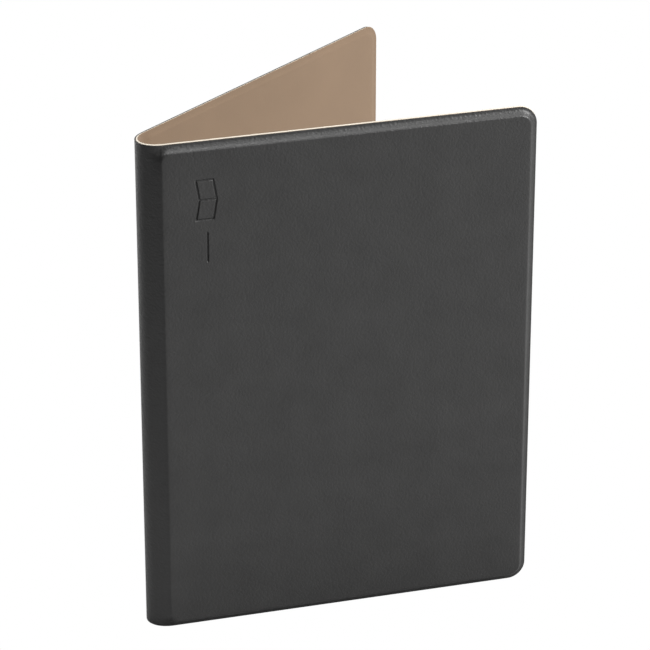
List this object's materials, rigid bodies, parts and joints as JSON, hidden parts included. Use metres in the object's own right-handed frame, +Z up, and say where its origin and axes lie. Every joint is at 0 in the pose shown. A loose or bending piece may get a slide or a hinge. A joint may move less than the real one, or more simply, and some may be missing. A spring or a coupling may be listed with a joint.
{
  "type": "e-reader in a folio cover",
  "caption": "E-reader held by magnets in a book-style folio that stands open in a V, with two coupled folds along its bent spine, a reader that slides off and a press button.",
  "frame": {"origin": "centre of the box round the standing, V-opened folio, on the surface it stands on", "axes": "+Z up along the spine; the holding cover's outer face looks along -Y and the spine is towards -X; the screen cover opens towards +Y"},
  "size_m": [0.1164, 0.0806, 0.155],
  "materials": {
    "leather": "fine-grained charcoal leatherette, satin",
    "lining": "short-napped taupe microfibre",
    "cover_board": "pressed fibre board",
    "magnet": "nickel-plated magnet",
    "steel": "plain sheet steel",
    "casing": "fine-textured black casing",
    "chassis": "stamped light alloy",
    "screen": "pale grey e-paper",
    "film": "etched clear film",
    "guide": "clear acrylic sheet",
    "circuit": "green solder mask",
    "chip": "moulded epoxy",
    "battery": "foil pouch",
    "flex": "amber polyimide film"
  },
  "bodies": {
    "holding_cover": {"holding_cover_board": "cover_board", "holding_cover_lining": "lining", "holding_cover_skin": "leather", "holding_magnet_1": "magnet", "holding_magnet_2": "magnet", "holding_magnet_3": "magnet", "holding_magnet_4": "magnet"},
    "spine": {"spine_skin": "leather", "spine_lining": "lining"},
    "screen_cover": {"closing_magnet_lower": "magnet", "closing_magnet_upper": "magnet", "screen_cover_board": "cover_board", "screen_cover_lining": "lining", "screen_cover_skin": "leather", "wake_magnet": "magnet"},
    "reader": {"antenna_film": "flex", "battery": "battery", "battery_plug": "chip", "chassis_plate": "chassis", "chassis_screw_1": "steel", "chassis_screw_2": "steel", "chassis_screw_3": "steel", "chassis_screw_4": "steel", "e_paper_panel": "screen", "front_light_strip": "flex", "light_guide": "guide", "magnet_sensor": "chip", "main_board": "circuit", "memory_chip": "chip", "panel_flat_cable": "flex", "power_chip": "chip", "power_switch": "steel", "processor_shield": "steel", "reader_front_bezel": "casing", "reader_rear_shell": "casing", "steel_strip_left": "steel", "steel_strip_right": "steel", "touch_film": "film", "usb_socket_shell": "steel", "usb_socket_tongue": "chip", "wireless_module": "steel"},
    "power_button": {"power_button": "casing"}
  },
  "joints": [
    {"name": "spine_fold", "type": "hinge", "parent": "holding_cover", "child": "spine", "pos_m": [-0.05185, -0.04029, 0.0775], "axis": [0, 0, 1], "range_deg": [-18.5, 161.5]},
    {"name": "cover_fold", "type": "hinge", "parent": "spine", "child": "screen_cover", "pos_m": [-0.05667, -0.02591, 0.0775], "axis": [0, 0, 1], "range_deg": [-18.5, 161.5]},
    {"name": "reader_slide", "type": "slide", "parent": "holding_cover", "child": "reader", "axis": [1, 0, 0], "range_m": [0, 0.12]},
    {"name": "power_button_press", "type": "slide", "parent": "reader", "child": "power_button", "axis": [0, 0, 1], "range_m": [0, 0.00035], "stiffness_N_per_m": 1500, "springref_m": -0.0003}
  ],
  "couplings": [
    {"joint": "cover_fold", "follows": "spine_fold", "ratio": 1}
  ]
}
